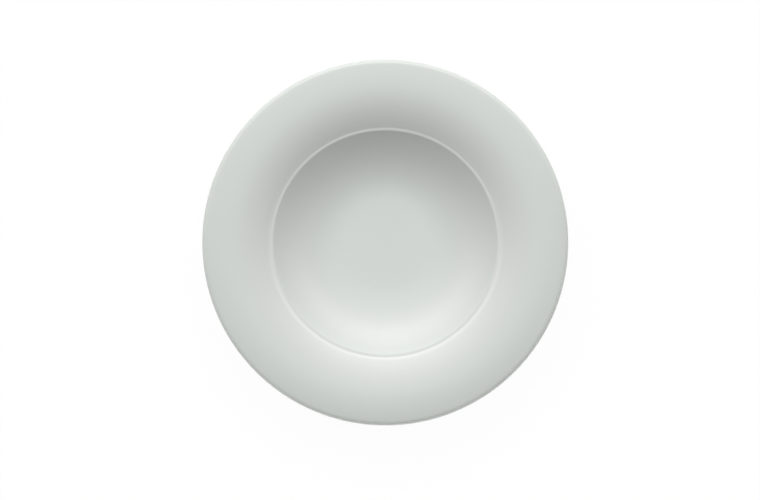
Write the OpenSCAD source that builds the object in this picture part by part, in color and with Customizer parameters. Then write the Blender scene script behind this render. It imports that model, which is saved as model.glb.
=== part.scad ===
// Rimmed soup plate in glazed porcelain, standing on its foot ring.
// The origin is the middle of the standing face, +Z is up, and lengths are in millimetres.
// The section is a chain of tangent arcs, from the middle of the floor out over the rim, round
// the rolled edge, and back along the underside to the foot. The fired body lies one glaze
// thickness inside that finished section, so the glass coats and the body meet face to face.

/* [Plate] */
// Diameter over the rolled edge
plate_d = 240; // [225:1:270]
// Thickness of the wall with its glaze, in the rim and in the well
wall_t = 4.6; // [3.8:0.1:5.2]
// Thickness of the floor with its glaze
floor_t = 5.2; // [4:0.1:8]

/* [Well] */
// Depth of the floor below the top of the well wall
well_depth = 18.2; // [16.5:0.1:20]
// Radius of the wall's long easy curve above the soft curve
well_wall_r = 80; // [60:1:110]
// Radius of the soft curve between the flat floor and the well wall
floor_curve_r = 62; // [56:1:68]
// Height that the soft curve climbs above the flat floor
floor_curve_rise = 8; // [7:0.1:9]

/* [Verge] */
// Radius of the brow where the well wall turns over into the ledge
brow_r = 1.5; // [0.8:0.1:2.5]
// Width of the straight part of the ledge
ledge_w = 1; // [0.3:0.1:1.5]
// Slope of the ledge, rising outward, in degrees
ledge_slope = 10; // [5:1:14]
// Radius of the cove between the ledge and the riser
cove_r = 2.5; // [1.5:0.5:5]
// Slope of the short riser that lifts the rim off the ledge, in degrees
riser_slope = 35; // [32:1:42]
// Radius of the lip where the riser turns over into the rim
lip_r = 4; // [2:0.5:8]

/* [Rim] */
// Width of the rim, from the top of the well wall to the edge
rim_w = 46.7; // [42:0.1:52]
// Slope at which the rim leaves the lip, in degrees
rim_slope = 26.5; // [20:0.5:28]
// Distance of the crest, the highest circle of the rim, inside the edge
crest_inset = 17.7; // [14:0.1:22]
// Radius of the rim's curve from the crest out to the edge
rim_fall_r = 88; // [65:1:140]
// Amount by which the rolled edge swells above and below the wall
edge_swell = 1.3; // [0.6:0.1:1.6]
// Radius of the neck under the rolled edge
neck_r = 8; // [4:1:15]
// Radius of the hollow under the verge, between the rim and the well wall
hollow_r = 14; // [8:1:18]

/* [Foot] */
// Distance of the foot ring's outer side, where it stands, inside the top of the well wall
foot_inset = 17.3; // [14:0.1:20]
// Width of the foot ring where it stands
foot_w = 4.4; // [3.6:0.1:6]
// Height of the recess inside the foot ring
foot_h = 3.6; // [3.2:0.1:5]
// Lean of the sides of the foot ring, in degrees
foot_draft = 8; // [3:1:15]
// Radius of the two corners of the standing face
foot_corner_r = 0.9; // [0.5:0.1:1.1]
// Radius of the fillet between the foot ring and the well wall
foot_root_r = 3; // [1.5:0.5:4]
// Radius of the fillet between the foot ring and the recess
recess_root_r = 1.6; // [0.8:0.1:2]

/* [Glaze] */
// Thickness of the glaze
glaze_t = 0.25; // [0.15:0.05:0.4]
// Height above the standing face at which the glaze is wiped off the foot ring
glaze_stop_h = 1.2; // [1.1:0.1:1.4]

/* [Hidden] */

// Furthest that a chord may stand off its arc
chord_tol = 0.015;
// Distance under which two points of an outline are one
same_point = chord_tol / 100;
// Facets round the plate
round_steps = 180;

porcelain_colour = [0.93, 0.91, 0.86];
glaze_colour = [0.82, 0.84, 0.83];

// A travel angle is the direction of the outline in degrees, with 0 pointing outward and 90 up.
// The outline runs outward over the top, down round the edge at -90 and inward at -180.
half_turn = 180;
quarter_turn = 90;

// Direction out of the material at a travel angle
function normal(angle) = [-sin(angle), cos(angle)];
// Travel angle whose direction out of the material is the given one, from -360 to 0
function normal_angle(dir) = let (angle = atan2(-dir[0], dir[1])) angle > 0 ? angle - 2 * half_turn : angle;
// Slope of a top face, between -90 and 90, whose upward normal is the given direction
function slope_of(dir) = atan2(-dir[0], dir[1]);
// Angle opposite side c in a triangle with sides a, b and c
function corner(a, b, c) = acos((a * a + b * b - c * c) / (2 * a * b));

// Points of an arc between two travel angles. The bend is the radius, positive where the centre
// lies outside the material and negative where it lies inside. The inset moves every point into
// the material.
function arc(centre, bend, from, to, inset) =
    let (
        step = 2 * acos(1 - chord_tol / abs(bend)),
        count = max(2, ceil(abs(to - from) / step))
    )
    [for (i = [0:count])
        let (angle = from + (to - from) * i / count)
        centre - (bend + inset) * normal(angle)];

function reversed(points) = [for (i = [len(points) - 1:-1:0]) points[i]];

// Points of a closed outline without those that fall on the point after them
function distinct(points) = [for (i = [0:len(points) - 1])
    if (norm(points[i] - points[(i + 1) % len(points)]) > same_point) points[i]];

plate_r = plate_d / 2;
verge_r = plate_r - rim_w;
crest_r = plate_r - crest_inset;
foot_r = verge_r - foot_inset;
edge_r = wall_t / 2 + edge_swell;
floor_z = foot_h + floor_t;
verge_z = floor_z + well_depth;

// Well: flat floor, soft curve, wall
floor_curve_slope = acos(1 - floor_curve_rise / floor_curve_r);
wall_slope = acos(cos(floor_curve_slope) - (well_depth - floor_curve_rise) / well_wall_r);
wall_c = [verge_r, verge_z] + well_wall_r * normal(wall_slope);
floor_curve_c = wall_c + (floor_curve_r - well_wall_r) * normal(floor_curve_slope);

// Verge: brow, ledge, cove, riser, lip
brow_c = [verge_r, verge_z] - brow_r * normal(wall_slope);
ledge_start = brow_c + brow_r * normal(ledge_slope);
cove_c = ledge_start + ledge_w * [cos(ledge_slope), sin(ledge_slope)] + cove_r * normal(ledge_slope);
cove_end = cove_c - cove_r * normal(riser_slope);
lip_c = cove_end - lip_r * normal(riser_slope);
rim_start = lip_c + lip_r * normal(rim_slope);

// Rim: one arc up to the crest, a flatter one down to the rolled edge
rim_rise_r = (crest_r - rim_start[0]) / sin(rim_slope);
rim_rise_c = rim_start - rim_rise_r * normal(rim_slope);
crest_z = rim_rise_c[1] + rim_rise_r;
rim_fall_c = [crest_r, crest_z - rim_fall_r];
edge_slope = -asin((plate_r - edge_r - crest_r) / (rim_fall_r - edge_r));
edge_c = rim_fall_c + (rim_fall_r - edge_r) * normal(edge_slope);

// Neck: tangent to the rolled edge and to the underside of the rim
neck_arm = rim_fall_r - wall_t - neck_r;
neck_slope = edge_slope + corner(rim_fall_r - edge_r, neck_arm, edge_r + neck_r);
neck_c = rim_fall_c + neck_arm * normal(neck_slope);
neck_turn = normal_angle(neck_c - edge_c);

// Hollow under the verge: tangent to the undersides of the rim and of the well wall
hollow_rim_arm = rim_rise_r - wall_t - hollow_r;
hollow_wall_arm = well_wall_r + wall_t + hollow_r;
hollow_rim_slope = slope_of(wall_c - rim_rise_c)
    - corner(norm(wall_c - rim_rise_c), hollow_rim_arm, hollow_wall_arm);
hollow_c = rim_rise_c + hollow_rim_arm * normal(hollow_rim_slope);
hollow_wall_slope = slope_of(wall_c - hollow_c);

// Foot ring: two leaning sides, two round corners and the standing face between them
outer_side = -quarter_turn - foot_draft;
inner_side = -half_turn - quarter_turn + foot_draft;
outer_toe = [foot_r, 0];
inner_toe = [foot_r - foot_w, 0];
root_arm = well_wall_r + wall_t + foot_root_r;
root_slope = outer_side + acos(((wall_c - outer_toe) * normal(outer_side) - foot_root_r) / root_arm);
root_c = wall_c - root_arm * normal(root_slope);
recess_root_z = foot_h - recess_root_r;
recess_root_c = [
    inner_toe[0] + (recess_root_r - recess_root_z * normal(inner_side)[1]) / normal(inner_side)[0],
    recess_root_z
];

// Centre of a corner of the standing face, tangent to z = 0 and to a side that is already inset
function toe_centre(toe, side) = [
    toe[0] - (foot_corner_r * (1 + normal(side)[1]) + glaze_t) / normal(side)[0],
    foot_corner_r
];

// Point on a side of the foot ring at the height where the glaze stops
function glaze_stop(toe, side, inset) =
    [toe[0] + glaze_stop_h * cos(side) / sin(side), glaze_stop_h] - inset * normal(side);

// Finished section from the middle of the floor, over the rim and back to the foot ring
function outer_outline(inset) = concat(
    [[0, floor_z - inset]],
    arc(floor_curve_c, floor_curve_r, 0, floor_curve_slope, inset),
    arc(wall_c, well_wall_r, floor_curve_slope, wall_slope, inset),
    arc(brow_c, -brow_r, wall_slope, ledge_slope, inset),
    arc(cove_c, cove_r, ledge_slope, riser_slope, inset),
    arc(lip_c, -lip_r, riser_slope, rim_slope, inset),
    arc(rim_rise_c, -rim_rise_r, rim_slope, 0, inset),
    arc(rim_fall_c, -rim_fall_r, 0, edge_slope, inset),
    arc(edge_c, -edge_r, edge_slope, neck_turn, inset),
    arc(neck_c, neck_r, neck_turn, neck_slope - half_turn, inset),
    arc(rim_fall_c, rim_fall_r - wall_t, neck_slope - half_turn, -half_turn, inset),
    arc(rim_rise_c, rim_rise_r - wall_t, -half_turn, hollow_rim_slope - half_turn, inset),
    arc(hollow_c, hollow_r, hollow_rim_slope - half_turn, hollow_wall_slope - half_turn, inset),
    arc(wall_c, -well_wall_r - wall_t, hollow_wall_slope - half_turn, root_slope - half_turn, inset),
    arc(root_c, foot_root_r, root_slope - half_turn, outer_side, inset)
);

// Bare foot, from the outer side of the ring across the standing face to the inner side
function bare_foot_outline() = concat(
    arc(toe_centre(outer_toe, outer_side), -foot_corner_r, outer_side, -half_turn, 0),
    arc(toe_centre(inner_toe, inner_side), -foot_corner_r, -half_turn, inner_side, 0)
);

// Finished section of the recess, from the inner side of the foot ring to the middle
function recess_outline(inset) = concat(
    arc(recess_root_c, recess_root_r, inner_side, -half_turn, inset),
    [[0, foot_h + inset]]
);

// Fired porcelain: floor, well, rim, rolled edge and foot ring in one piece
module porcelain_body() {
    color(porcelain_colour)
        rotate_extrude($fn = round_steps)
            polygon(distinct(concat(
                outer_outline(glaze_t),
                bare_foot_outline(),
                recess_outline(glaze_t)
            )));
}

// Glass over everything that shows, down to the wiped line on the foot ring
module glaze_coat() {
    color(glaze_colour)
        rotate_extrude($fn = round_steps)
            polygon(distinct(concat(
                outer_outline(0),
                [glaze_stop(outer_toe, outer_side, 0), glaze_stop(outer_toe, outer_side, glaze_t)],
                reversed(outer_outline(glaze_t))
            )));
}

// Glass in the recess inside the foot ring
module base_glaze() {
    color(glaze_colour)
        rotate_extrude($fn = round_steps)
            polygon(distinct(concat(
                [glaze_stop(inner_toe, inner_side, 0)],
                recess_outline(0),
                reversed(recess_outline(glaze_t)),
                [glaze_stop(inner_toe, inner_side, glaze_t)]
            )));
}

porcelain_body();
glaze_coat();
base_glaze();
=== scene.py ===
"""Rimmed soup plate in white glazed porcelain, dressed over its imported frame.

The plate is a solid of revolution. Its section is the chain of tangent arcs that the part itself
has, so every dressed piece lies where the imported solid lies. Lengths are in metres, +Z is up, and
the origin is the middle of the foot ring's standing face.
"""

from __future__ import annotations

import logging
import math
from dataclasses import dataclass, field
from enum import Enum

import bpy
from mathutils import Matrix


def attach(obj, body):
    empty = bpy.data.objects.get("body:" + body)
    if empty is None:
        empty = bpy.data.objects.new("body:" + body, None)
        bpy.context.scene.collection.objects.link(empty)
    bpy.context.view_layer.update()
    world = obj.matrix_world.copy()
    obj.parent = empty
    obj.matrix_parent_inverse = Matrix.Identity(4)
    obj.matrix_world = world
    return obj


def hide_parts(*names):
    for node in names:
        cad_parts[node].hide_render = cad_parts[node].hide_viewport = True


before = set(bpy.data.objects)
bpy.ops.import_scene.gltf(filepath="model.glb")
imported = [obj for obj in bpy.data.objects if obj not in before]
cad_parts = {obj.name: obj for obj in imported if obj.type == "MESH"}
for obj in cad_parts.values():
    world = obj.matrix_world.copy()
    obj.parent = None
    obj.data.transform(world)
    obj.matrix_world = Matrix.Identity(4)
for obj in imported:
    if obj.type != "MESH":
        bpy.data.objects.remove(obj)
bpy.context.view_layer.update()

log = logging.getLogger("soup_plate")

Point = tuple[float, float]
Colour = tuple[float, float, float]
MM = 0.001
HALF_TURN = 180.0
QUARTER_TURN = 90.0


class Coat(Enum):
    """The two fields of glass that the bare foot ring parts."""

    UPPER = "glaze_coat"
    BASE = "base_glaze"


def normal(angle: float) -> Point:
    """Gives the direction out of the material at a travel angle.

    Args:
        angle: Direction of the outline in degrees, 0 outward and 90 up.

    Returns:
        A unit vector as radius and height.
    """
    turn = math.radians(angle)
    return -math.sin(turn), math.cos(turn)


def shifted(point: Point, distance: float, direction: Point) -> Point:
    """Moves a point along a direction.

    Args:
        point: Start, as radius and height.
        distance: Length of the move.
        direction: Unit vector of the move.

    Returns:
        The moved point.
    """
    return point[0] + distance * direction[0], point[1] + distance * direction[1]


def corner(a: float, b: float, c: float) -> float:
    """Gives the angle opposite side c in a triangle.

    Args:
        a: First side beside the angle.
        b: Second side beside the angle.
        c: Side opposite the angle.

    Returns:
        The angle in degrees.
    """
    return math.degrees(math.acos((a * a + b * b - c * c) / (2 * a * b)))


def travel_angle(start: Point, end: Point) -> float:
    """Gives the travel angle whose outward normal points from one point to another.

    Args:
        start: Tail of the normal.
        end: Tip of the normal.

    Returns:
        The angle in degrees, from -180 to 180.
    """
    return math.degrees(math.atan2(start[0] - end[0], end[1] - start[1]))


@dataclass(frozen=True)
class PlateSection:
    """Section of the plate as a chain of tangent arcs, with the part's own sizes."""

    plate_d: float = 240 * MM
    wall_t: float = 4.6 * MM
    floor_t: float = 5.2 * MM
    well_depth: float = 18.2 * MM
    well_wall_r: float = 80 * MM
    floor_curve_r: float = 62 * MM
    floor_curve_rise: float = 8 * MM
    brow_r: float = 1.5 * MM
    ledge_w: float = 1 * MM
    ledge_slope: float = 10.0
    cove_r: float = 2.5 * MM
    riser_slope: float = 35.0
    lip_r: float = 4 * MM
    rim_w: float = 46.7 * MM
    rim_slope: float = 26.5
    crest_inset: float = 17.7 * MM
    rim_fall_r: float = 88 * MM
    edge_swell: float = 1.3 * MM
    neck_r: float = 8 * MM
    hollow_r: float = 14 * MM
    foot_inset: float = 17.3 * MM
    foot_w: float = 4.4 * MM
    foot_h: float = 3.6 * MM
    foot_draft: float = 8.0
    foot_corner_r: float = 0.9 * MM
    foot_root_r: float = 3 * MM
    recess_root_r: float = 1.6 * MM
    glaze_t: float = 0.25 * MM
    glaze_stop_h: float = 1.2 * MM
    chord_tol: float = 0.006 * MM

    @property
    def plate_r(self) -> float:
        """Radius over the rolled edge."""
        return self.plate_d / 2

    @property
    def edge_r(self) -> float:
        """Radius of the rolled edge."""
        return self.wall_t / 2 + self.edge_swell

    @property
    def verge_r(self) -> float:
        """Radius of the top of the well wall."""
        return self.plate_r - self.rim_w

    @property
    def foot_r(self) -> float:
        """Outer radius of the foot ring where it stands."""
        return self.verge_r - self.foot_inset

    @property
    def floor_z(self) -> float:
        """Height of the flat floor."""
        return self.foot_h + self.floor_t

    def arc(self, centre: Point, bend: float, start: float, end: float, inset: float) -> list[Point]:
        """Gives points along an arc of the section.

        Args:
            centre: Centre of the arc.
            bend: Radius, positive where the centre lies outside the material.
            start: Travel angle of the first point, in degrees.
            end: Travel angle of the last point, in degrees.
            inset: Distance by which the points move into the material.

        Returns:
            The points in order of travel.
        """
        step = 2 * math.degrees(math.acos(1 - self.chord_tol / abs(bend)))
        count = max(2, math.ceil(abs(end - start) / step))
        angles = [start + (end - start) * i / count for i in range(count + 1)]
        return [shifted(centre, -(bend + inset), normal(angle)) for angle in angles]

    def outer(self, inset: float) -> list[Point]:
        """Traces the finished section from the middle of the floor to the foot ring.

        Args:
            inset: Distance by which the line moves into the material.

        Returns:
            Points from the axis, over the rim and back to the root of the foot ring.
        """
        verge = (self.verge_r, self.floor_z + self.well_depth)
        floor_slope = math.degrees(math.acos(1 - self.floor_curve_rise / self.floor_curve_r))
        wall_rise = (self.well_depth - self.floor_curve_rise) / self.well_wall_r
        wall_slope = math.degrees(math.acos(math.cos(math.radians(floor_slope)) - wall_rise))
        wall_c = shifted(verge, self.well_wall_r, normal(wall_slope))
        floor_c = shifted(wall_c, self.floor_curve_r - self.well_wall_r, normal(floor_slope))

        brow_c = shifted(verge, -self.brow_r, normal(wall_slope))
        ledge_start = shifted(brow_c, self.brow_r, normal(self.ledge_slope))
        ledge_end = shifted(ledge_start, -self.ledge_w, normal(self.ledge_slope + QUARTER_TURN))
        cove_c = shifted(ledge_end, self.cove_r, normal(self.ledge_slope))
        cove_end = shifted(cove_c, -self.cove_r, normal(self.riser_slope))
        lip_c = shifted(cove_end, -self.lip_r, normal(self.riser_slope))
        rim_start = shifted(lip_c, self.lip_r, normal(self.rim_slope))

        crest_r = self.plate_r - self.crest_inset
        rise_r = (crest_r - rim_start[0]) / math.sin(math.radians(self.rim_slope))
        rise_c = shifted(rim_start, -rise_r, normal(self.rim_slope))
        fall_c = (crest_r, rise_c[1] + rise_r - self.rim_fall_r)
        edge_arm = self.rim_fall_r - self.edge_r
        edge_slope = -math.degrees(math.asin((self.crest_inset - self.edge_r) / edge_arm))
        edge_c = shifted(fall_c, edge_arm, normal(edge_slope))

        neck_arm = self.rim_fall_r - self.wall_t - self.neck_r
        neck_slope = edge_slope + corner(edge_arm, neck_arm, self.edge_r + self.neck_r)
        neck_c = shifted(fall_c, neck_arm, normal(neck_slope))
        neck_turn = travel_angle(edge_c, neck_c)
        if neck_turn > 0:
            neck_turn -= 2 * HALF_TURN

        rim_arm = rise_r - self.wall_t - self.hollow_r
        wall_arm = self.well_wall_r + self.wall_t + self.hollow_r
        hollow_rim = travel_angle(rise_c, wall_c) - corner(math.dist(rise_c, wall_c), rim_arm, wall_arm)
        hollow_c = shifted(rise_c, rim_arm, normal(hollow_rim))
        hollow_wall = travel_angle(hollow_c, wall_c)

        side = -QUARTER_TURN - self.foot_draft
        out = normal(side)
        root_arm = self.well_wall_r + self.wall_t + self.foot_root_r
        reach = (wall_c[0] - self.foot_r) * out[0] + wall_c[1] * out[1] - self.foot_root_r
        root_slope = side + math.degrees(math.acos(reach / root_arm))
        root_c = shifted(wall_c, -root_arm, normal(root_slope))

        back = HALF_TURN
        chain = [(0.0, self.floor_z - inset)]
        for centre, bend, start, end in (
            (floor_c, self.floor_curve_r, 0.0, floor_slope),
            (wall_c, self.well_wall_r, floor_slope, wall_slope),
            (brow_c, -self.brow_r, wall_slope, self.ledge_slope),
            (cove_c, self.cove_r, self.ledge_slope, self.riser_slope),
            (lip_c, -self.lip_r, self.riser_slope, self.rim_slope),
            (rise_c, -rise_r, self.rim_slope, 0.0),
            (fall_c, -self.rim_fall_r, 0.0, edge_slope),
            (edge_c, -self.edge_r, edge_slope, neck_turn),
            (neck_c, self.neck_r, neck_turn, neck_slope - back),
            (fall_c, self.rim_fall_r - self.wall_t, neck_slope - back, -back),
            (rise_c, rise_r - self.wall_t, -back, hollow_rim - back),
            (hollow_c, self.hollow_r, hollow_rim - back, hollow_wall - back),
            (wall_c, -self.well_wall_r - self.wall_t, hollow_wall - back, root_slope - back),
            (root_c, self.foot_root_r, root_slope - back, side),
        ):
            chain += self.arc(centre, bend, start, end, inset)
        return chain

    def glaze_stop(self, toe_r: float, side: float, inset: float) -> Point:
        """Finds where the glaze ends on the foot's side that stands at toe_r and has the angle side."""
        lean = self.glaze_stop_h / math.tan(math.radians(side))
        return shifted((toe_r + lean, self.glaze_stop_h), -inset, normal(side))

    def bare_foot(self) -> list[Point]:
        """Traces the bare clay round the standing face, from the outer side to the inner.

        Returns:
            Points of both rounded corners.
        """
        outer_side, inner_side = -QUARTER_TURN - self.foot_draft, -3 * QUARTER_TURN + self.foot_draft
        points: list[Point] = []
        for toe_r, side, start, end in (
            (self.foot_r, outer_side, outer_side, -HALF_TURN),
            (self.foot_r - self.foot_w, inner_side, -HALF_TURN, inner_side),
        ):
            out = normal(side)
            centre_r = toe_r - (self.foot_corner_r * (1 + out[1]) + self.glaze_t) / out[0]
            points += self.arc((centre_r, self.foot_corner_r), -self.foot_corner_r, start, end, 0.0)
        return points

    def recess(self, inset: float) -> list[Point]:
        """Traces the recess from the inner side of the foot ring to the axis.

        Args:
            inset: Distance by which the line moves into the material.

        Returns:
            Points of the fillet and of the recess's flat face.
        """
        side = -3 * QUARTER_TURN + self.foot_draft
        out = normal(side)
        root_z = self.foot_h - self.recess_root_r
        root_x = self.foot_r - self.foot_w + (self.recess_root_r - root_z * out[1]) / out[0]
        fillet = self.arc((root_x, root_z), self.recess_root_r, side, -HALF_TURN, inset)
        return fillet + [(0.0, self.foot_h + inset)]

    def body_outline(self) -> list[Point]:
        """Traces the fired clay, one glaze thickness inside the finished surface."""
        return self.outer(self.glaze_t) + self.bare_foot() + self.recess(self.glaze_t)

    def coat_outline(self, coat: Coat) -> list[Point]:
        """Traces one field of glass, over its face and back along the clay.

        Args:
            coat: Which of the two fields.

        Returns:
            Points from the axis and back to it.
        """
        if coat is Coat.UPPER:
            toe_r, side = self.foot_r, -QUARTER_TURN - self.foot_draft
            face, clay = self.outer(0.0), self.outer(self.glaze_t)
        else:
            toe_r, side = self.foot_r - self.foot_w, -3 * QUARTER_TURN + self.foot_draft
            face, clay = self.recess(0.0)[::-1], self.recess(self.glaze_t)[::-1]
        stop = [self.glaze_stop(toe_r, side, 0.0), self.glaze_stop(toe_r, side, self.glaze_t)]
        line = face + stop + clay[::-1]
        return line if coat is Coat.UPPER else line[::-1]


class Tree:
    """Adds nodes to one node tree and joins them."""

    def __init__(self, tree: bpy.types.NodeTree) -> None:
        """Keeps the node tree of a material, a world, a group or a modifier."""
        self.tree = tree

    def node(self, kind: str, **settings: object) -> bpy.types.Node:
        """Adds a node.

        Args:
            kind: Blender's name of the node type.
            **settings: Properties of the node and their values.

        Returns:
            The new node.
        """
        made = self.tree.nodes.new(kind)
        for name, value in settings.items():
            setattr(made, name, value)
        return made

    def join(self, source: bpy.types.NodeSocket, target: bpy.types.NodeSocket) -> None:
        """Links an output to an input."""
        self.tree.links.new(source, target)

    def math(self, operation: str, *values: object, clamp: bool = False) -> bpy.types.NodeSocket:
        """Adds a Math node.

        Args:
            operation: Name of the operation.
            *values: A number or a socket for each input in order.
            clamp: Whether the result is held between 0 and 1.

        Returns:
            The node's output.
        """
        made = self.node("ShaderNodeMath", operation=operation, use_clamp=clamp)
        for slot, value in zip(made.inputs, values):
            self.feed(slot, value)
        return made.outputs[0]

    def ramp(
        self, value: bpy.types.NodeSocket, start: object, end: object, first: object, last: object
    ) -> bpy.types.NodeSocket:
        """Adds a soft ramp from one result to another.

        Args:
            value: What the ramp is read at.
            start: Where it starts, as a number or a socket.
            end: Where it ends.
            first: Result at the start and before it.
            last: Result at the end and past it.

        Returns:
            The node's output.
        """
        made = self.node("ShaderNodeMapRange", interpolation_type="SMOOTHSTEP")
        settings = {"Value": value, "From Min": start, "From Max": end, "To Min": first, "To Max": last}
        for label, setting in settings.items():
            self.feed(made.inputs[label], setting)
        return made.outputs[0]

    def feed(self, slot: bpy.types.NodeSocket, value: object) -> None:
        """Sets an input to a number or a colour, or links a socket to it.

        Args:
            slot: The input.
            value: A socket, a number or a colour.
        """
        if isinstance(value, bpy.types.NodeSocket):
            self.join(value, slot)
        else:
            slot.default_value = value


def make_group(
    name: str, kind: str, inputs: dict[str, tuple[str, object]], outputs: dict[str, str]
) -> tuple[Tree, bpy.types.Node, bpy.types.Node]:
    """Makes an empty node group with its sockets.

    Args:
        name: Name of the group.
        kind: Type of the node tree.
        inputs: Socket type and default value by socket name.
        outputs: Socket type by socket name.

    Returns:
        The tree's helper, its input node and its output node.
    """
    group = bpy.data.node_groups.new(name, kind)
    for label, (socket_type, default) in inputs.items():
        socket = group.interface.new_socket(label, in_out="INPUT", socket_type=socket_type)
        if default is not None:
            socket.default_value = default
    for label, socket_type in outputs.items():
        group.interface.new_socket(label, in_out="OUTPUT", socket_type=socket_type)
    tree = Tree(group)
    return tree, tree.node("NodeGroupInput"), tree.node("NodeGroupOutput")


@dataclass
class Revolve:
    """Geometry Nodes tree that turns a section line round the plate's axis.

    Points of the line that carry the wiped attribute rise and sink a little round the plate, as
    the edge of a glaze does where a sponge has wiped it off.
    """

    steps: int = 288
    merge_distance: float = 0.001 * MM
    waver_count: float = 9.0
    waver_detail: float = 3.0
    group: bpy.types.NodeTree = field(init=False)

    WIPED = "wiped"
    STEPS_INPUT = "Steps"
    MERGE_INPUT = "Merge Distance"
    WAVER_INPUT = "Waver"
    WAVER_COUNT_INPUT = "Waver Count"
    FINISH_INPUT = "Finish"

    def __post_init__(self) -> None:
        """Builds the tree."""
        tree, given, result = make_group(
            "revolve_section",
            "GeometryNodeTree",
            {
                "Geometry": ("NodeSocketGeometry", None),
                self.STEPS_INPUT: ("NodeSocketInt", self.steps),
                self.MERGE_INPUT: ("NodeSocketFloat", self.merge_distance),
                self.WAVER_INPUT: ("NodeSocketFloat", 0.0),
                self.WAVER_COUNT_INPUT: ("NodeSocketFloat", self.waver_count),
                self.FINISH_INPUT: ("NodeSocketMaterial", None),
            },
            {"Geometry": "NodeSocketGeometry"},
        )
        line = given.outputs["Geometry"]
        steps = given.outputs[self.STEPS_INPUT]

        size = tree.node("GeometryNodeAttributeDomainSize", component="MESH")
        tree.join(line, size.inputs["Geometry"])
        rows = size.outputs["Point Count"]
        grid = tree.node("GeometryNodeMeshGrid")
        tree.join(tree.math("ADD", steps, 1.0), grid.inputs["Vertices X"])
        tree.join(rows, grid.inputs["Vertices Y"])

        index = tree.node("GeometryNodeInputIndex").outputs[0]
        row = tree.math("MODULO", index, rows)
        column = tree.math("FLOOR", tree.math("DIVIDE", tree.math("ADD", index, 0.5), rows))
        angle = tree.math("MULTIPLY", tree.math("DIVIDE", column, steps), math.tau)
        cosine, sine = tree.math("COSINE", angle), tree.math("SINE", angle)

        position = tree.node("GeometryNodeInputPosition").outputs[0]
        parts = tree.node("ShaderNodeSeparateXYZ")
        tree.join(self._at_row(tree, line, row, position, "FLOAT_VECTOR"), parts.inputs[0])
        wiped = tree.node("GeometryNodeInputNamedAttribute", data_type="FLOAT")
        wiped.inputs["Name"].default_value = self.WIPED
        weight = self._at_row(tree, line, row, wiped.outputs["Attribute"], "FLOAT")
        lift = tree.math("MULTIPLY", self._waver(tree, given, cosine, sine), weight)

        turned = tree.node("ShaderNodeCombineXYZ")
        tree.join(tree.math("MULTIPLY", parts.outputs["X"], cosine), turned.inputs[0])
        tree.join(tree.math("MULTIPLY", parts.outputs["X"], sine), turned.inputs[1])
        tree.join(tree.math("ADD", parts.outputs["Z"], lift), turned.inputs[2])
        moved = tree.node("GeometryNodeSetPosition")
        tree.join(grid.outputs["Mesh"], moved.inputs["Geometry"])
        tree.join(turned.outputs[0], moved.inputs["Position"])

        merged = tree.node("GeometryNodeMergeByDistance")
        tree.join(moved.outputs[0], merged.inputs["Geometry"])
        tree.join(given.outputs[self.MERGE_INPUT], merged.inputs["Distance"])
        smooth = tree.node("GeometryNodeSetShadeSmooth")
        tree.join(merged.outputs[0], smooth.inputs["Geometry"])
        real = tree.node("GeometryNodeRealizeInstances")
        tree.join(smooth.outputs[0], real.inputs[0])
        finish = tree.node("GeometryNodeSetMaterial")
        tree.join(real.outputs[0], finish.inputs["Geometry"])
        tree.join(given.outputs[self.FINISH_INPUT], finish.inputs["Material"])
        tree.join(finish.outputs[0], result.inputs["Geometry"])
        self.group = tree.tree

    @staticmethod
    def _at_row(
        tree: Tree,
        line: bpy.types.NodeSocket,
        row: bpy.types.NodeSocket,
        value: bpy.types.NodeSocket,
        data_type: str,
    ) -> bpy.types.NodeSocket:
        """Reads a value of the section line at each row of the turned grid.

        Args:
            tree: Helper of the tree.
            line: Geometry of the section line.
            row: Index of the point that each row comes from.
            value: What is read there.
            data_type: Blender's name of its type.

        Returns:
            The value on the grid.
        """
        read = tree.node("GeometryNodeSampleIndex", data_type=data_type, domain="POINT")
        tree.join(line, read.inputs["Geometry"])
        tree.join(value, read.inputs["Value"])
        tree.join(row, read.inputs["Index"])
        return read.outputs[0]

    def _waver(
        self, tree: Tree, given: bpy.types.Node, cosine: bpy.types.NodeSocket, sine: bpy.types.NodeSocket
    ) -> bpy.types.NodeSocket:
        """Works out how far the wiped line rises or sinks at each angle.

        Args:
            tree: Helper of the tree.
            given: The tree's input node.
            cosine: Cosine of the angle.
            sine: Sine of the angle.

        Returns:
            The rise as a length.
        """
        ring = tree.node("ShaderNodeCombineXYZ")
        tree.join(cosine, ring.inputs[0])
        tree.join(sine, ring.inputs[1])
        noise = tree.node("ShaderNodeTexNoise", noise_dimensions="3D")
        tree.join(ring.outputs[0], noise.inputs["Vector"])
        tree.join(given.outputs[self.WAVER_COUNT_INPUT], noise.inputs["Scale"])
        noise.inputs["Detail"].default_value = self.waver_detail
        swing = tree.math("SUBTRACT", tree.math("MULTIPLY", noise.outputs[0], 2.0), 1.0)
        return tree.math("MULTIPLY", swing, given.outputs[self.WAVER_INPUT])

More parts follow.
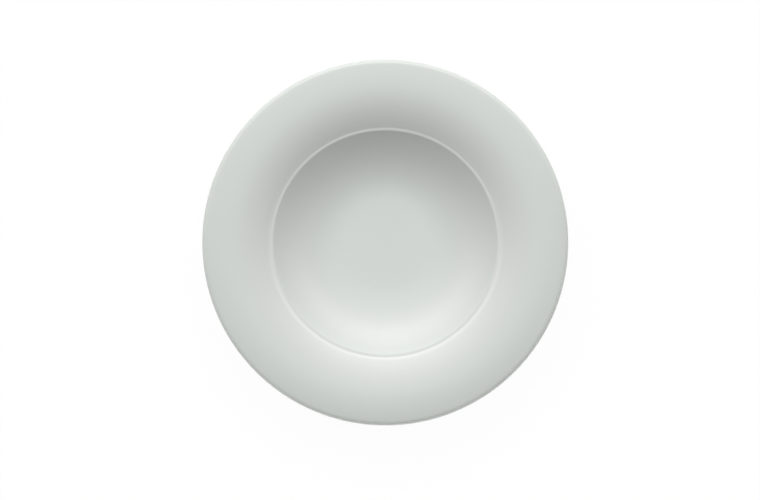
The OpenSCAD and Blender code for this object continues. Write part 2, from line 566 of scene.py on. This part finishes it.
    def turn(
        self, name: str, line: list[Point], finish: bpy.types.Material, wiped: set[int], waver: float
    ) -> bpy.types.Object:
        """Turns a section line into a closed mesh object.

        Args:
            name: Name of the new object.
            line: Points as radius and height, from the axis back to the axis.
            finish: Material of the whole surface.
            wiped: Indices of the points that waver.
            waver: Furthest that a wiped point rises or sinks.

        Returns:
            The finished object, with its faces outward.
        """
        seed = bpy.data.meshes.new(name + "_section")
        edges = [(i, i + 1) for i in range(len(line) - 1)]
        seed.from_pydata([(r, 0.0, z) for r, z in line], edges, [])
        weights = seed.attributes.new(self.WIPED, "FLOAT", "POINT")
        weights.data.foreach_set("value", [float(i in wiped) for i in range(len(line))])
        holder = bpy.data.objects.new(name + "_holder", seed)
        bpy.context.scene.collection.objects.link(holder)
        modifier = holder.modifiers.new("revolve", "NODES")
        modifier.node_group = self.group
        values = {
            self.STEPS_INPUT: self.steps,
            self.MERGE_INPUT: self.merge_distance,
            self.WAVER_INPUT: waver,
            self.WAVER_COUNT_INPUT: self.waver_count,
            self.FINISH_INPUT: finish,
        }
        for item in self.group.interface.items_tree:
            if item.in_out == "INPUT" and item.name in values:
                modifier[item.identifier] = values[item.name]
        holder.update_tag()
        depsgraph = bpy.context.evaluated_depsgraph_get()
        mesh = bpy.data.meshes.new_from_object(holder.evaluated_get(depsgraph))
        holder.modifiers.remove(modifier)
        bpy.data.objects.remove(holder)
        bpy.data.meshes.remove(seed)
        mesh.name = name
        piece = bpy.data.objects.new(name, mesh)
        bpy.context.scene.collection.objects.link(piece)
        return piece


class Effects:
    """Shader node groups that the finishes share, each built once."""

    def __init__(self) -> None:
        """Builds the groups."""
        self.clouds = self._clouds()
        self.ring = self._ring()
        self.specks = self._specks()

    @staticmethod
    def _clouds() -> bpy.types.NodeTree:
        """Builds soft clouds on Object coordinates.

        Returns:
            The group, whose mask runs from 0 to 1.
        """
        tree, given, result = make_group(
            "soft_clouds",
            "ShaderNodeTree",
            {
                "Scale": ("NodeSocketFloat", 20.0),
                "Detail": ("NodeSocketFloat", 2.0),
                "Contrast": ("NodeSocketFloat", 1.5),
            },
            {"Mask": "NodeSocketFloat"},
        )
        place = tree.node("ShaderNodeTexCoord")
        noise = tree.node("ShaderNodeTexNoise")
        tree.join(place.outputs["Object"], noise.inputs["Vector"])
        tree.join(given.outputs["Scale"], noise.inputs["Scale"])
        tree.join(given.outputs["Detail"], noise.inputs["Detail"])
        swing = tree.math("SUBTRACT", noise.outputs[0], 0.5)
        swing = tree.math("MULTIPLY", swing, given.outputs["Contrast"])
        tree.join(tree.math("ADD", swing, 0.5, clamp=True), result.inputs["Mask"])
        return tree.tree

    @staticmethod
    def _ring() -> bpy.types.NodeTree:
        """Builds a soft ring about the plate's axis, between two heights.

        Returns:
            The group, whose mask is 1 on the ring's middle line.
        """
        tree, given, result = make_group(
            "ring_band",
            "ShaderNodeTree",
            {
                "Radius": ("NodeSocketFloat", 0.1),
                "Half Width": ("NodeSocketFloat", 0.002),
                "Height": ("NodeSocketFloat", 0.0),
                "Half Height": ("NodeSocketFloat", 0.01),
            },
            {"Mask": "NodeSocketFloat"},
        )
        place = tree.node("ShaderNodeTexCoord")
        parts = tree.node("ShaderNodeSeparateXYZ")
        tree.join(place.outputs["Object"], parts.inputs[0])
        squares = [tree.math("MULTIPLY", parts.outputs[i], parts.outputs[i]) for i in (0, 1)]
        radius = tree.math("SQRT", tree.math("ADD", *squares))
        masks = []
        for value, centre, half in (
            (radius, "Radius", "Half Width"),
            (parts.outputs["Z"], "Height", "Half Height"),
        ):
            away = tree.math("ABSOLUTE", tree.math("SUBTRACT", value, given.outputs[centre]))
            masks.append(tree.ramp(away, 0.0, given.outputs[half], 1.0, 0.0))
        tree.join(tree.math("MULTIPLY", *masks), result.inputs["Mask"])
        return tree.tree

    @staticmethod
    def _specks() -> bpy.types.NodeTree:
        """Builds scattered small round specks on Object coordinates.

        Returns:
            The group, whose mask is 1 in the middle of a speck.
        """
        tree, given, result = make_group(
            "small_specks",
            "ShaderNodeTree",
            {
                "Scale": ("NodeSocketFloat", 300.0),
                "Share": ("NodeSocketFloat", 0.1),
                "Size": ("NodeSocketFloat", 0.2),
            },
            {"Mask": "NodeSocketFloat"},
        )
        place = tree.node("ShaderNodeTexCoord")
        cells = tree.node("ShaderNodeTexVoronoi", feature="F1")
        tree.join(place.outputs["Object"], cells.inputs["Vector"])
        tree.join(given.outputs["Scale"], cells.inputs["Scale"])
        chance = tree.node("ShaderNodeSeparateColor")
        tree.join(cells.outputs["Color"], chance.inputs[0])
        chosen = tree.math("LESS_THAN", chance.outputs[0], given.outputs["Share"])
        speck = tree.ramp(cells.outputs["Distance"], 0.0, given.outputs["Size"], 1.0, 0.0)
        tree.join(tree.math("MULTIPLY", chosen, speck), result.inputs["Mask"])
        return tree.tree


def new_material(name: str) -> tuple[bpy.types.Material, Tree, bpy.types.Node]:
    """Makes a node material.

    Args:
        name: Name of the material.

    Returns:
        The material, its tree's helper and its Principled shader.
    """
    material = bpy.data.materials.new(name)
    material.use_nodes = True
    tree = Tree(material.node_tree)
    return material, tree, material.node_tree.nodes["Principled BSDF"]


def place_effect(tree: Tree, group: bpy.types.NodeTree, **values: float) -> bpy.types.NodeSocket:
    """Places a shared effect in a material.

    Args:
        tree: Helper of the material's tree.
        group: The effect.
        **values: Input values, with underscores for the spaces in their names.

    Returns:
        The effect's mask.
    """
    made = tree.node("ShaderNodeGroup", node_tree=group)
    for name, value in values.items():
        made.inputs[name.replace("_", " ")].default_value = value
    return made.outputs["Mask"]


def blend_colour(
    tree: Tree, mask: bpy.types.NodeSocket, low: object, high: object
) -> bpy.types.NodeSocket:
    """Mixes two colours by a mask.

    Args:
        tree: Helper of the material's tree.
        mask: Share of the second colour.
        low: First colour or socket.
        high: Second colour or socket.

    Returns:
        The mixed colour.
    """
    mix = tree.node("ShaderNodeMix", data_type="RGBA")
    tree.join(mask, mix.inputs["Factor"])
    for slot, value in ((mix.inputs[6], low), (mix.inputs[7], high)):
        tree.feed(slot, value if isinstance(value, bpy.types.NodeSocket) else (*value, 1.0))
    return mix.outputs[2]


@dataclass(frozen=True)
class GlazeRing:
    """Soft ring about the plate's axis where the glaze takes another colour, for pooled glass and for
    painted light and shade.
    """

    colour: Colour
    half_width: float
    half_height: float


@dataclass(frozen=True)
class GlazeFinish:
    """Clear glass over white clay: greenish and faintly clouded where it lies thick on the flats.

    It carries painted shade with a warm tint on the well wall and a painted warm tint of light on the
    slopes, painted highlights on the verge and the edge, and is darkest where it pools at the foot.
    """

    # The first colour is the painted highlight on the verge and the edge; the second is pooled glaze.
    PAINTED_HIGHLIGHT = (0.844, 0.860, 0.826)
    POOLED = (0.735, 0.785, 0.750)

    colour: Colour = (0.766, 0.806, 0.771)
    cloud_colour: Colour = (0.758, 0.798, 0.762)
    # Painted shade with a warm tint on the well wall, and a painted warm tint of light on the rim's
    # slope.
    wall: GlazeRing = GlazeRing((0.758, 0.778, 0.745), half_width=22 * MM, half_height=80 * MM)
    slope: GlazeRing = GlazeRing((0.776, 0.800, 0.767), half_width=14 * MM, half_height=80 * MM)
    # Painted highlights: pale rings on the verge and on the rolled edge.
    verge: GlazeRing = GlazeRing(PAINTED_HIGHLIGHT, half_width=2.4 * MM, half_height=4 * MM)
    edge: GlazeRing = GlazeRing(PAINTED_HIGHLIGHT, half_width=1.5 * MM, half_height=10 * MM)
    foot_pool: GlazeRing = GlazeRing(POOLED, half_width=4 * MM, half_height=4 * MM)
    recess_pool: GlazeRing = GlazeRing(POOLED, half_width=3 * MM, half_height=2 * MM)
    wall_ring_r: float = 60 * MM
    slope_ring_r: float = 84 * MM
    roughness: float = 0.16
    roughness_swing: float = 0.04
    ior: float = 1.5
    cloud_scale: float = 14.0
    cloud_detail: float = 3.0
    cloud_contrast: float = 2.0
    wear_scale: float = 70.0
    wear_detail: float = 6.0
    peel_scale: float = 420.0
    peel_detail: float = 1.0
    peel_contrast: float = 1.0
    peel_height: float = 0.0025 * MM

    def build(self, effects: Effects, section: PlateSection) -> bpy.types.Material:
        """Builds the material.

        Args:
            effects: Shared node groups.
            section: Section of the plate, for where the glaze pools and where the painted light and shade
                lie.

        Returns:
            The glaze.
        """
        material, tree, shader = new_material("white_glaze")
        clouds = place_effect(
            tree,
            effects.clouds,
            Scale=self.cloud_scale,
            Detail=self.cloud_detail,
            Contrast=self.cloud_contrast,
        )
        colour = blend_colour(tree, clouds, self.colour, self.cloud_colour)

        # The verge's painted highlight lies over the ledge and a little way into the cove.
        ledge_end_r = section.verge_r + section.brow_r + section.ledge_w
        ledge_z = section.floor_z + section.well_depth
        # Wall ring: painted shade with a warm tint; slope ring: painted warm tint of light; verge and
        # edge rings: painted highlights; the pools: the glaze's own colour where it lies thick.
        for ring, radius, height in (
            (self.wall, self.wall_ring_r, ledge_z),
            (self.slope, self.slope_ring_r, ledge_z),
            (self.verge, ledge_end_r + section.cove_r / 8, ledge_z),
            (self.foot_pool, section.foot_r + section.foot_root_r, 2 * section.foot_h),
            (self.recess_pool, section.foot_r - section.foot_w, section.foot_h),
            (self.edge, section.plate_r, ledge_z),
        ):
            band = place_effect(
                tree,
                effects.ring,
                Radius=radius,
                Half_Width=ring.half_width,
                Height=height,
                Half_Height=ring.half_height,
            )
            colour = blend_colour(tree, band, colour, ring.colour)
        tree.join(colour, shader.inputs["Base Color"])

        wear = place_effect(
            tree,
            effects.clouds,
            Scale=self.wear_scale,
            Detail=self.wear_detail,
            Contrast=self.cloud_contrast,
        )
        low = self.roughness - self.roughness_swing / 2
        rough = tree.math("ADD", tree.math("MULTIPLY", wear, self.roughness_swing), low)
        tree.join(rough, shader.inputs["Roughness"])
        shader.inputs["IOR"].default_value = self.ior

        peel = place_effect(
            tree,
            effects.clouds,
            Scale=self.peel_scale,
            Detail=self.peel_detail,
            Contrast=self.peel_contrast,
        )
        bump = tree.node("ShaderNodeBump")
        bump.inputs["Distance"].default_value = self.peel_height
        tree.join(peel, bump.inputs["Height"])
        tree.join(bump.outputs[0], shader.inputs["Normal"])
        return material


@dataclass(frozen=True)
class BiscuitFinish:
    """Bare fired clay: matte and granular, greyed where the foot has stood."""

    colour: Colour = (0.80, 0.78, 0.73)
    grain_colour: Colour = (0.72, 0.69, 0.63)
    worn_colour: Colour = (0.50, 0.48, 0.45)
    speck_colour: Colour = (0.35, 0.28, 0.22)
    roughness: float = 0.70
    roughness_swing: float = 0.15
    grain_scale: float = 1600.0
    grain_detail: float = 2.0
    grain_height: float = 0.02 * MM
    speck_scale: float = 500.0
    speck_share: float = 0.04
    speck_size: float = 0.25
    patch_scale: float = 90.0
    patch_detail: float = 6.0
    contrast: float = 3.0
    worn_height: float = 0.3 * MM
    worn_share: float = 0.6

    def build(self, effects: Effects, section: PlateSection) -> bpy.types.Material:
        """Builds the material.

        Args:
            effects: Shared node groups.
            section: Section of the plate, for where the foot stands.

        Returns:
            The bare clay.
        """
        material, tree, shader = new_material("bare_porcelain")
        grain = place_effect(
            tree, effects.clouds, Scale=self.grain_scale, Detail=self.grain_detail, Contrast=self.contrast
        )
        colour = blend_colour(tree, grain, self.colour, self.grain_colour)
        specks = place_effect(
            tree, effects.specks, Scale=self.speck_scale, Share=self.speck_share, Size=self.speck_size
        )
        colour = blend_colour(tree, specks, colour, self.speck_colour)
        standing = place_effect(
            tree,
            effects.ring,
            Radius=section.foot_r - section.foot_w / 2,
            Half_Width=section.foot_w / 2,
            Height=0.0,
            Half_Height=self.worn_height,
        )
        patches = place_effect(
            tree, effects.clouds, Scale=self.patch_scale, Detail=self.patch_detail, Contrast=self.contrast
        )
        worn = tree.math("MULTIPLY", tree.math("MULTIPLY", standing, patches), self.worn_share)
        tree.join(blend_colour(tree, worn, colour, self.worn_colour), shader.inputs["Base Color"])
        rough = tree.math("ADD", tree.math("MULTIPLY", grain, self.roughness_swing), self.roughness)
        tree.join(rough, shader.inputs["Roughness"])
        bump = tree.node("ShaderNodeBump")
        bump.inputs["Distance"].default_value = self.grain_height
        tree.join(grain, bump.inputs["Height"])
        tree.join(bump.outputs[0], shader.inputs["Normal"])
        return material


@dataclass
class SoupPlate:
    """The plate's three pieces: the fired body and its two fields of glass."""

    section: PlateSection = field(default_factory=PlateSection)
    glaze: GlazeFinish = field(default_factory=GlazeFinish)
    biscuit: BiscuitFinish = field(default_factory=BiscuitFinish)
    wiped_waver: float = 0.2 * MM

    def build(self) -> list[bpy.types.Object]:
        """Builds and dresses the three pieces.

        Returns:
            The pieces.
        """
        effects, revolve = Effects(), Revolve()
        glass = self.glaze.build(effects, self.section)
        clay = self.biscuit.build(effects, self.section)
        body = revolve.turn("fired_body", self.section.body_outline(), clay, set(), 0.0)
        pieces = [self._dress(body, "porcelain_body", "porcelain")]
        for name, coat in (("upper_glaze", Coat.UPPER), ("recess_glaze", Coat.BASE)):
            line = self.section.coat_outline(coat)
            stop_z = self.section.glaze_stop_h + self.section.glaze_t
            wiped = {i for i, (_, z) in enumerate(line) if z < stop_z}
            piece = revolve.turn(name, line, glass, wiped, self.wiped_waver)
            pieces.append(self._dress(piece, coat.value, "glaze"))
        return pieces

    @staticmethod
    def _dress(piece: bpy.types.Object, node: str, slot: str) -> bpy.types.Object:
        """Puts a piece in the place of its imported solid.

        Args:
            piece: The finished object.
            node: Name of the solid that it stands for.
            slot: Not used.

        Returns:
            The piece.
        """
        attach(piece, "root")
        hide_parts(node)
        return piece


@dataclass(frozen=True)
class SkyBand:
    """Soft band of light round the sky, strongest on one side and fading round to the other.

    A band out of the gloss lights the plate's matte side alone, so that its rim doesn't glare.
    """

    zenith: float
    half_width: float
    strength: float
    azimuth: float = 95.0
    fade: float = 2.0
    in_gloss: bool = True

    INPUTS = ("Zenith", "Half Width", "Azimuth", "Fade", "Strength")
    LEAST_LEVEL = 0.001

    @classmethod
    def effect(cls) -> bpy.types.NodeTree:
        """Builds the node group that works a band out for the direction that is looked in.

        Returns:
            The group, which puts out the band's light.
        """
        tree, given, result = make_group(
            "sky_band",
            "ShaderNodeTree",
            {label: ("NodeSocketFloat", 0.0) for label in cls.INPUTS},
            {"Light": "NodeSocketFloat"},
        )
        parts = tree.node("ShaderNodeSeparateXYZ")
        tree.join(tree.node("ShaderNodeTexCoord").outputs["Generated"], parts.inputs[0])
        x, y, z = (parts.outputs[i] for i in range(3))

        away = tree.math("SUBTRACT", tree.math("ARCCOSINE", z), given.outputs["Zenith"])
        away = tree.math("DIVIDE", away, given.outputs["Half Width"])
        belt = tree.math("EXPONENT", tree.math("MULTIPLY", tree.math("MULTIPLY", away, away), -1.0))

        azimuth = given.outputs["Azimuth"]
        along = tree.math(
            "ADD",
            tree.math("MULTIPLY", x, tree.math("COSINE", azimuth)),
            tree.math("MULTIPLY", y, tree.math("SINE", azimuth)),
        )
        squares = [tree.math("MULTIPLY", part, part) for part in (x, y)]
        level = tree.math("SQRT", tree.math("ADD", *squares))
        facing = tree.math("DIVIDE", along, tree.math("MAXIMUM", level, cls.LEAST_LEVEL))
        share = tree.math("MULTIPLY", tree.math("ADD", facing, 1.0), 0.5, clamp=True)
        share = tree.math("POWER", share, given.outputs["Fade"])
        light = tree.math("MULTIPLY", tree.math("MULTIPLY", belt, share), given.outputs["Strength"])
        tree.join(light, result.inputs["Light"])
        return tree.tree

    def place(self, tree: Tree, group: bpy.types.NodeTree) -> bpy.types.NodeSocket:
        """Places the band in the world.

        Args:
            tree: Helper of the world's tree.
            group: The node group of all bands.

        Returns:
            The band's light.
        """
        made = tree.node("ShaderNodeGroup", node_tree=group)
        angles = [math.radians(angle) for angle in (self.zenith, self.half_width, self.azimuth)]
        for label, value in zip(self.INPUTS, (*angles, self.fade, self.strength)):
            made.inputs[label].default_value = value
        return made.outputs["Light"]


@dataclass(frozen=True)
class Studio:
    """Pale floor, white surround with soft bands of light, and a camera straight above the plate."""

    floor_half: float = 4.0
    floor_colour: Colour = (0.90, 0.90, 0.90)
    shadow_share: float = 0.08
    floor_white: float = 1.03
    bounce: float = 1.2
    bounce_start: float = 80 * MM
    bounce_end: float = 200 * MM
    bands: tuple[SkyBand, ...] = (
        SkyBand(zenith=0.0, half_width=20.0, strength=0.95, fade=0.0),
        SkyBand(zenith=0.0, half_width=50.0, strength=0.15, fade=0.0),
        SkyBand(zenith=30.0, half_width=30.0, strength=0.45, fade=1.0),
        SkyBand(zenith=45.0, half_width=15.0, strength=1.0),
        SkyBand(zenith=55.0, half_width=9.0, strength=1.1),
        SkyBand(zenith=62.0, half_width=9.0, strength=1.3, fade=4.0),
        SkyBand(zenith=70.0, half_width=9.0, strength=0.7),
        SkyBand(zenith=88.0, half_width=7.0, strength=3.2, fade=8.0, in_gloss=False),
    )
    frame_w: float = 760.0
    plate_px: float = 366.2
    shift_x_px: float = 5.25
    shift_y_px: float = 7.5
    camera_distance: float = 1.5
    sensor_w: float = 36.0
    edge_z: float = 30 * MM

    @staticmethod
    def lens_rays(tree: Tree) -> tuple[bpy.types.NodeSocket, bpy.types.NodeSocket]:
        """Tells the rays that make a picture from those that carry light.

        Args:
            tree: Helper of the tree.

        Returns:
            One for camera rays, and one for camera, glossy and transmission rays.
        """
        rays = tree.node("ShaderNodeLightPath").outputs
        lens = tree.math("MAXIMUM", rays["Is Camera Ray"], rays["Is Glossy Ray"])
        return rays["Is Camera Ray"], tree.math("MAXIMUM", lens, rays["Is Transmission Ray"])

    def front_bounce(self, tree: Tree, shader: bpy.types.Node) -> bpy.types.NodeSocket:
        """Adds light that the floor in front of the plate throws up at its edge.

        Args:
            tree: Helper of the floor's tree.
            shader: Shader of the plain floor.

        Returns:
            The floor with its bounce.
        """
        parts = tree.node("ShaderNodeSeparateXYZ")
        tree.join(tree.node("ShaderNodeTexCoord").outputs["Object"], parts.inputs[0])
        strength = tree.ramp(parts.outputs["Y"], -self.bounce_start, -self.bounce_end, 0.0, self.bounce)
        glow = tree.node("ShaderNodeEmission")
        tree.join(strength, glow.inputs["Strength"])
        both = tree.node("ShaderNodeAddShader")
        tree.join(shader.outputs[0], both.inputs[0])
        tree.join(glow.outputs[0], both.inputs[1])
        return both.outputs[0]

    def floor(self) -> bpy.types.Object:
        """Lays the floor, white to the lens but for the plate's faint shadow.

        Returns:
            The floor.
        """
        mesh = bpy.data.meshes.new("floor")
        signs = ((-1, -1), (1, -1), (1, 1), (-1, 1))
        corners = [(x * self.floor_half, y * self.floor_half, 0.0) for x, y in signs]
        mesh.from_pydata(corners, [], [(0, 1, 2, 3)])
        material, tree, shader = new_material("pale_floor")
        shader.inputs["Base Color"].default_value = (*self.floor_colour, 1.0)
        shader.inputs["Roughness"].default_value = 1.0
        shader.inputs["Specular IOR Level"].default_value = 0.0
        white = tree.node("ShaderNodeEmission")
        white.inputs["Strength"].default_value = self.floor_white
        pale = tree.node("ShaderNodeMixShader")
        pale.inputs[0].default_value = self.shadow_share
        tree.join(white.outputs[0], pale.inputs[1])
        tree.join(shader.outputs[0], pale.inputs[2])
        joined = tree.node("ShaderNodeMixShader")
        tree.join(self.lens_rays(tree)[1], joined.inputs[0])
        tree.join(self.front_bounce(tree, shader), joined.inputs[1])
        tree.join(pale.outputs[0], joined.inputs[2])
        tree.join(joined.outputs[0], material.node_tree.nodes["Material Output"].inputs["Surface"])
        mesh.materials.append(material)
        floor = bpy.data.objects.new("floor", mesh)
        bpy.context.scene.collection.objects.link(floor)
        return floor

    def surround(self) -> bpy.types.World:
        """Makes the surround, white to the lens and lit in soft bands.

        Returns:
            The world.
        """
        world = bpy.data.worlds.new("surround")
        bpy.context.scene.world = world
        world.use_nodes = True
        tree = Tree(world.node_tree)
        group = SkyBand.effect()
        camera, lens = self.lens_rays(tree)
        matte = tree.math("SUBTRACT", 1.0, lens)
        light: object = 0.0
        for band in self.bands:
            share = band.place(tree, group)
            if not band.in_gloss:
                share = tree.math("MULTIPLY", share, matte)
            light = tree.math("ADD", light, share)
        unseen = tree.math("MULTIPLY", light, tree.math("SUBTRACT", 1.0, camera))
        sky = world.node_tree.nodes["Background"]
        sky.inputs["Color"].default_value = (1.0, 1.0, 1.0, 1.0)
        tree.join(tree.math("ADD", unseen, lens), sky.inputs["Strength"])
        return world

    def camera(self, section: PlateSection) -> bpy.types.Object:
        """Sets the camera straight above, with the plate where the photograph has it.

        Args:
            section: Section of the plate, for its diameter.

        Returns:
            The camera.
        """
        pixel = section.plate_d / self.plate_px
        data = bpy.data.cameras.new("camera")
        data.sensor_width = self.sensor_w
        data.lens = self.sensor_w * self.camera_distance / (self.frame_w * pixel)
        camera = bpy.data.objects.new("camera", data)
        bpy.context.scene.collection.objects.link(camera)
        height = self.edge_z + self.camera_distance
        camera.location = (-self.shift_x_px * pixel, -self.shift_y_px * pixel, height)
        bpy.context.scene.camera = camera
        return camera

    def build(self, section: PlateSection) -> None:
        """Builds the floor, the surround and the camera.

        Args:
            section: Section of the plate.
        """
        self.floor()
        self.surround()
        self.camera(section)
        bpy.context.scene.view_settings.view_transform = "Standard"
        log.info("studio: floor, camera and a surround with %d bands of light", len(self.bands))


def main() -> None:
    logging.basicConfig(level=logging.INFO, format="%(name)s: %(message)s")
    plate = SoupPlate()
    for piece in plate.build():
        log.info("%s: %d faces", piece.name, len(piece.data.polygons))
    Studio().build(plate.section)


if __name__ == "__main__":
    main()
